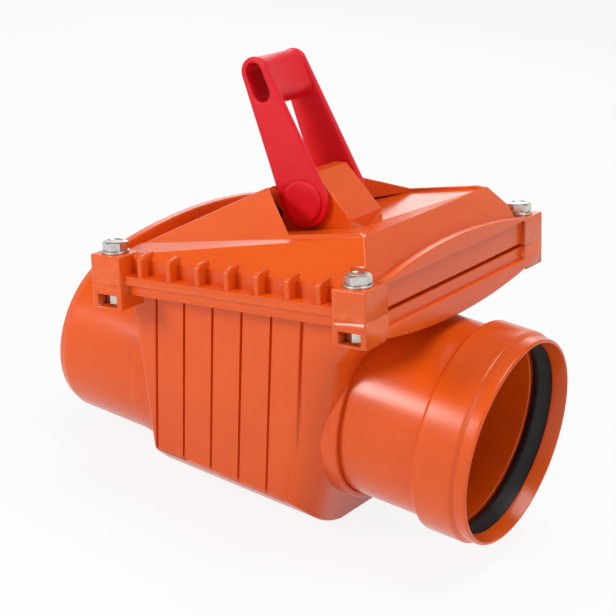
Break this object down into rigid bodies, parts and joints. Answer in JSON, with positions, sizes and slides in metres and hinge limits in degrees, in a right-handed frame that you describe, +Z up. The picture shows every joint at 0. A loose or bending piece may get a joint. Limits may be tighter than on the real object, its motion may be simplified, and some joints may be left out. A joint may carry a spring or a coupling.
{
  "type": "backwater valve",
  "caption": "Orange plastic backwater valve for a drain pipe: spigot and sealed socket, ribbed chamber with a swing flap, bolted sloping cover and a red yoke handle that locks the flap.",
  "frame": {"origin": "bottom centre of the bounding box: the keel of the chamber stands on z = 0, y = 0 is the middle plane through both pipes", "axes": "+X along the pipes towards the inlet socket, +Y across, +Z up"},
  "size_m": [0.297, 0.2076, 0.2659],
  "materials": {
    "orange_plastic": "satin moulded polypropylene",
    "red_plastic": "satin moulded plastic",
    "seal_rubber": "matt black rubber",
    "zinc_steel": "bright zinc plate",
    "grey_plastic": "matt moulded plastic"
  },
  "bodies": {
    "housing": {"chamber": "orange_plastic", "inlet_socket": "orange_plastic", "outlet_spigot": "orange_plastic", "socket_seal": "seal_rubber", "cover": "orange_plastic", "cover_gasket": "seal_rubber", "cover_bolts": "zinc_steel", "bolt_washers": "zinc_steel", "cover_nuts": "zinc_steel", "hinge_bracket": "grey_plastic", "bracket_screws": "zinc_steel", "flap_pin": "zinc_steel", "pin_clips": "zinc_steel", "shaft_bushes": "grey_plastic", "shaft_seals": "seal_rubber"},
    "flap": {"flap_disc": "grey_plastic", "flap_seal": "seal_rubber", "seal_retainer": "zinc_steel", "retainer_screws": "zinc_steel"},
    "handle": {"lock_handle": "red_plastic", "lock_shaft": "zinc_steel", "lock_finger": "grey_plastic", "finger_pin": "zinc_steel", "pivot_caps": "red_plastic"}
  },
  "joints": [
    {"name": "flap_swing", "type": "hinge", "parent": "housing", "child": "flap", "pos_m": [0.046, 0, 0.15], "axis": [0, 1, 0], "range_deg": [0, 45]},
    {"name": "handle_turn", "type": "hinge", "parent": "housing", "child": "handle", "pos_m": [0.00038, 0, 0.19021], "axis": [0, 1, 0], "range_deg": [0, 50]}
  ]
}
